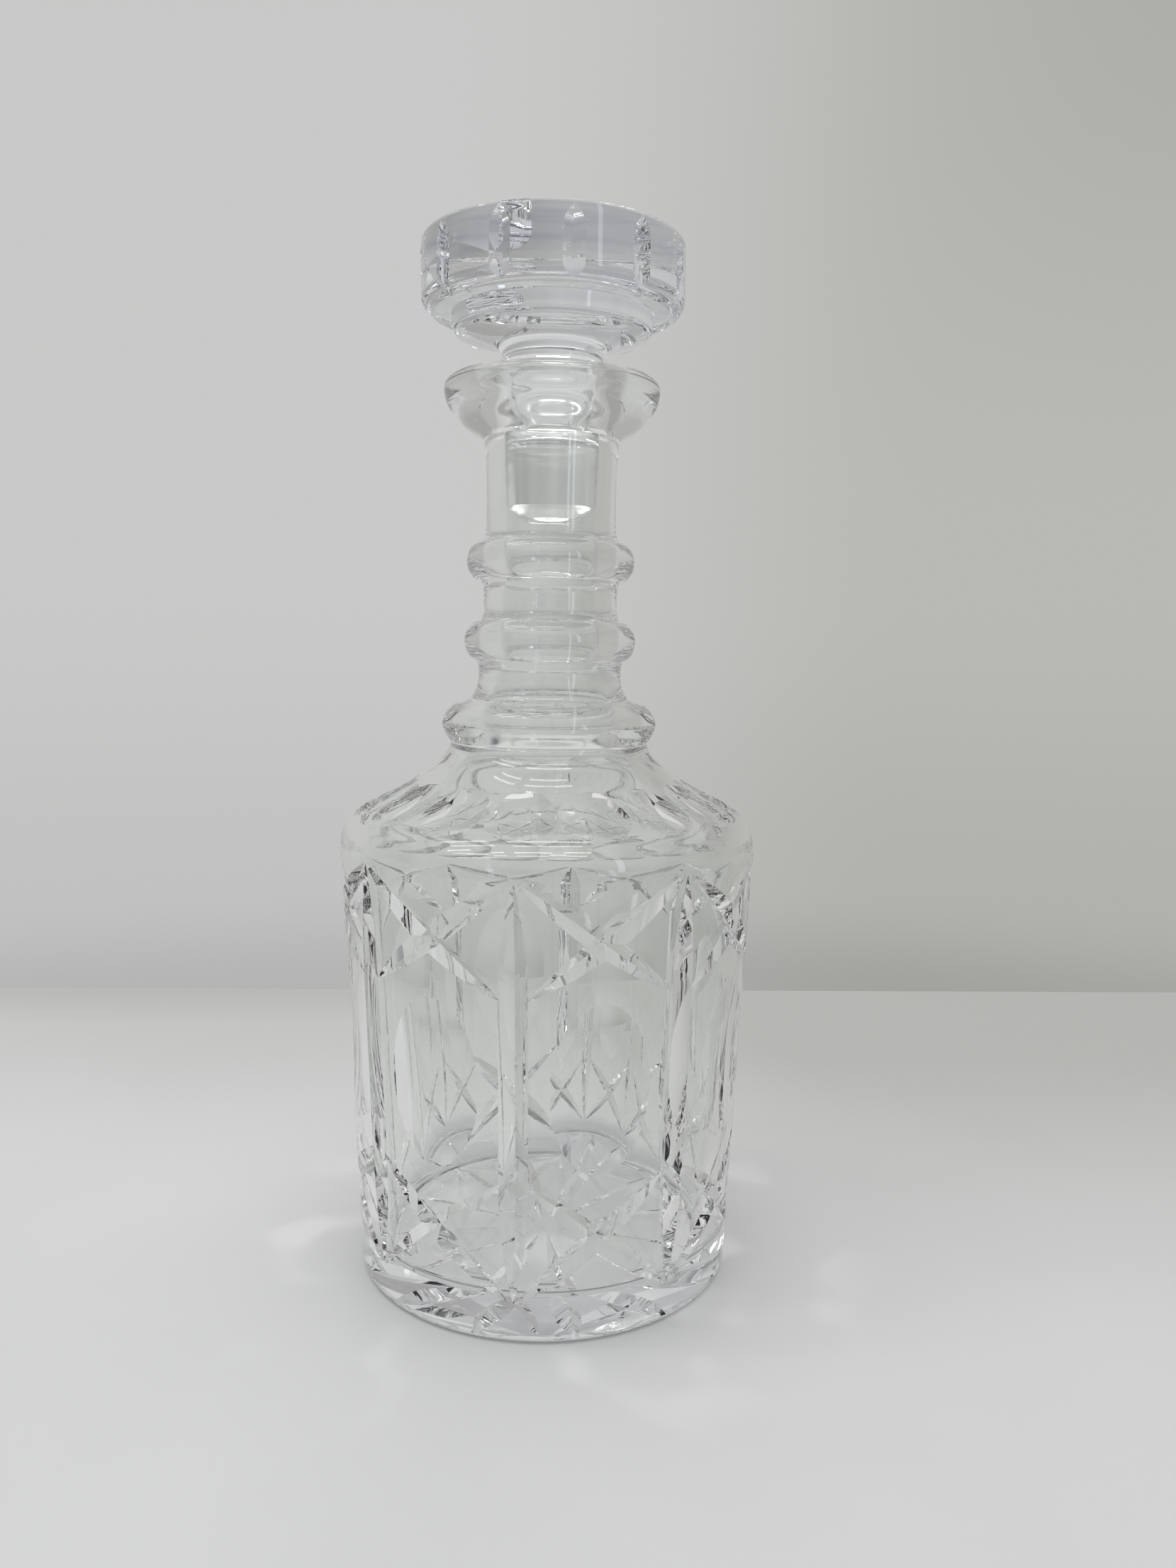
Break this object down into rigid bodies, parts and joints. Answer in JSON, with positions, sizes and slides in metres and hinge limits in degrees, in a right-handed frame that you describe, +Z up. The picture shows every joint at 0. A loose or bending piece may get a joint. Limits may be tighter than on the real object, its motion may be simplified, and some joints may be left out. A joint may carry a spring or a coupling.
{
  "type": "cut crystal decanter",
  "caption": "Straight-sided cut-crystal decanter with a ringed neck, flat lip, cut panels and ovals, and a lift-out fluted disc stopper with a flat top.",
  "frame": {"origin": "on the axis of revolution, at the middle of the foot's flat underside", "axes": "+Z up along the axis of revolution, -Y towards the front, +X to the right"},
  "size_m": [0.1108, 0.1108, 0.2696],
  "materials": {
    "bottle_crystal": "clear lead crystal, cut and acid-polished, with a very slight grey-green tint",
    "stopper_crystal": "clear solid lead crystal, cut and polished, with a finely ground plug"
  },
  "bodies": {
    "bottle": {"decanter_bottle": "bottle_crystal"},
    "stopper": {"stopper": "stopper_crystal"}
  },
  "joints": [
    {"name": "stopper_lift", "type": "slide", "parent": "bottle", "child": "stopper", "axis": [0, 0, 1], "range_m": [0, 0.06]}
  ]
}
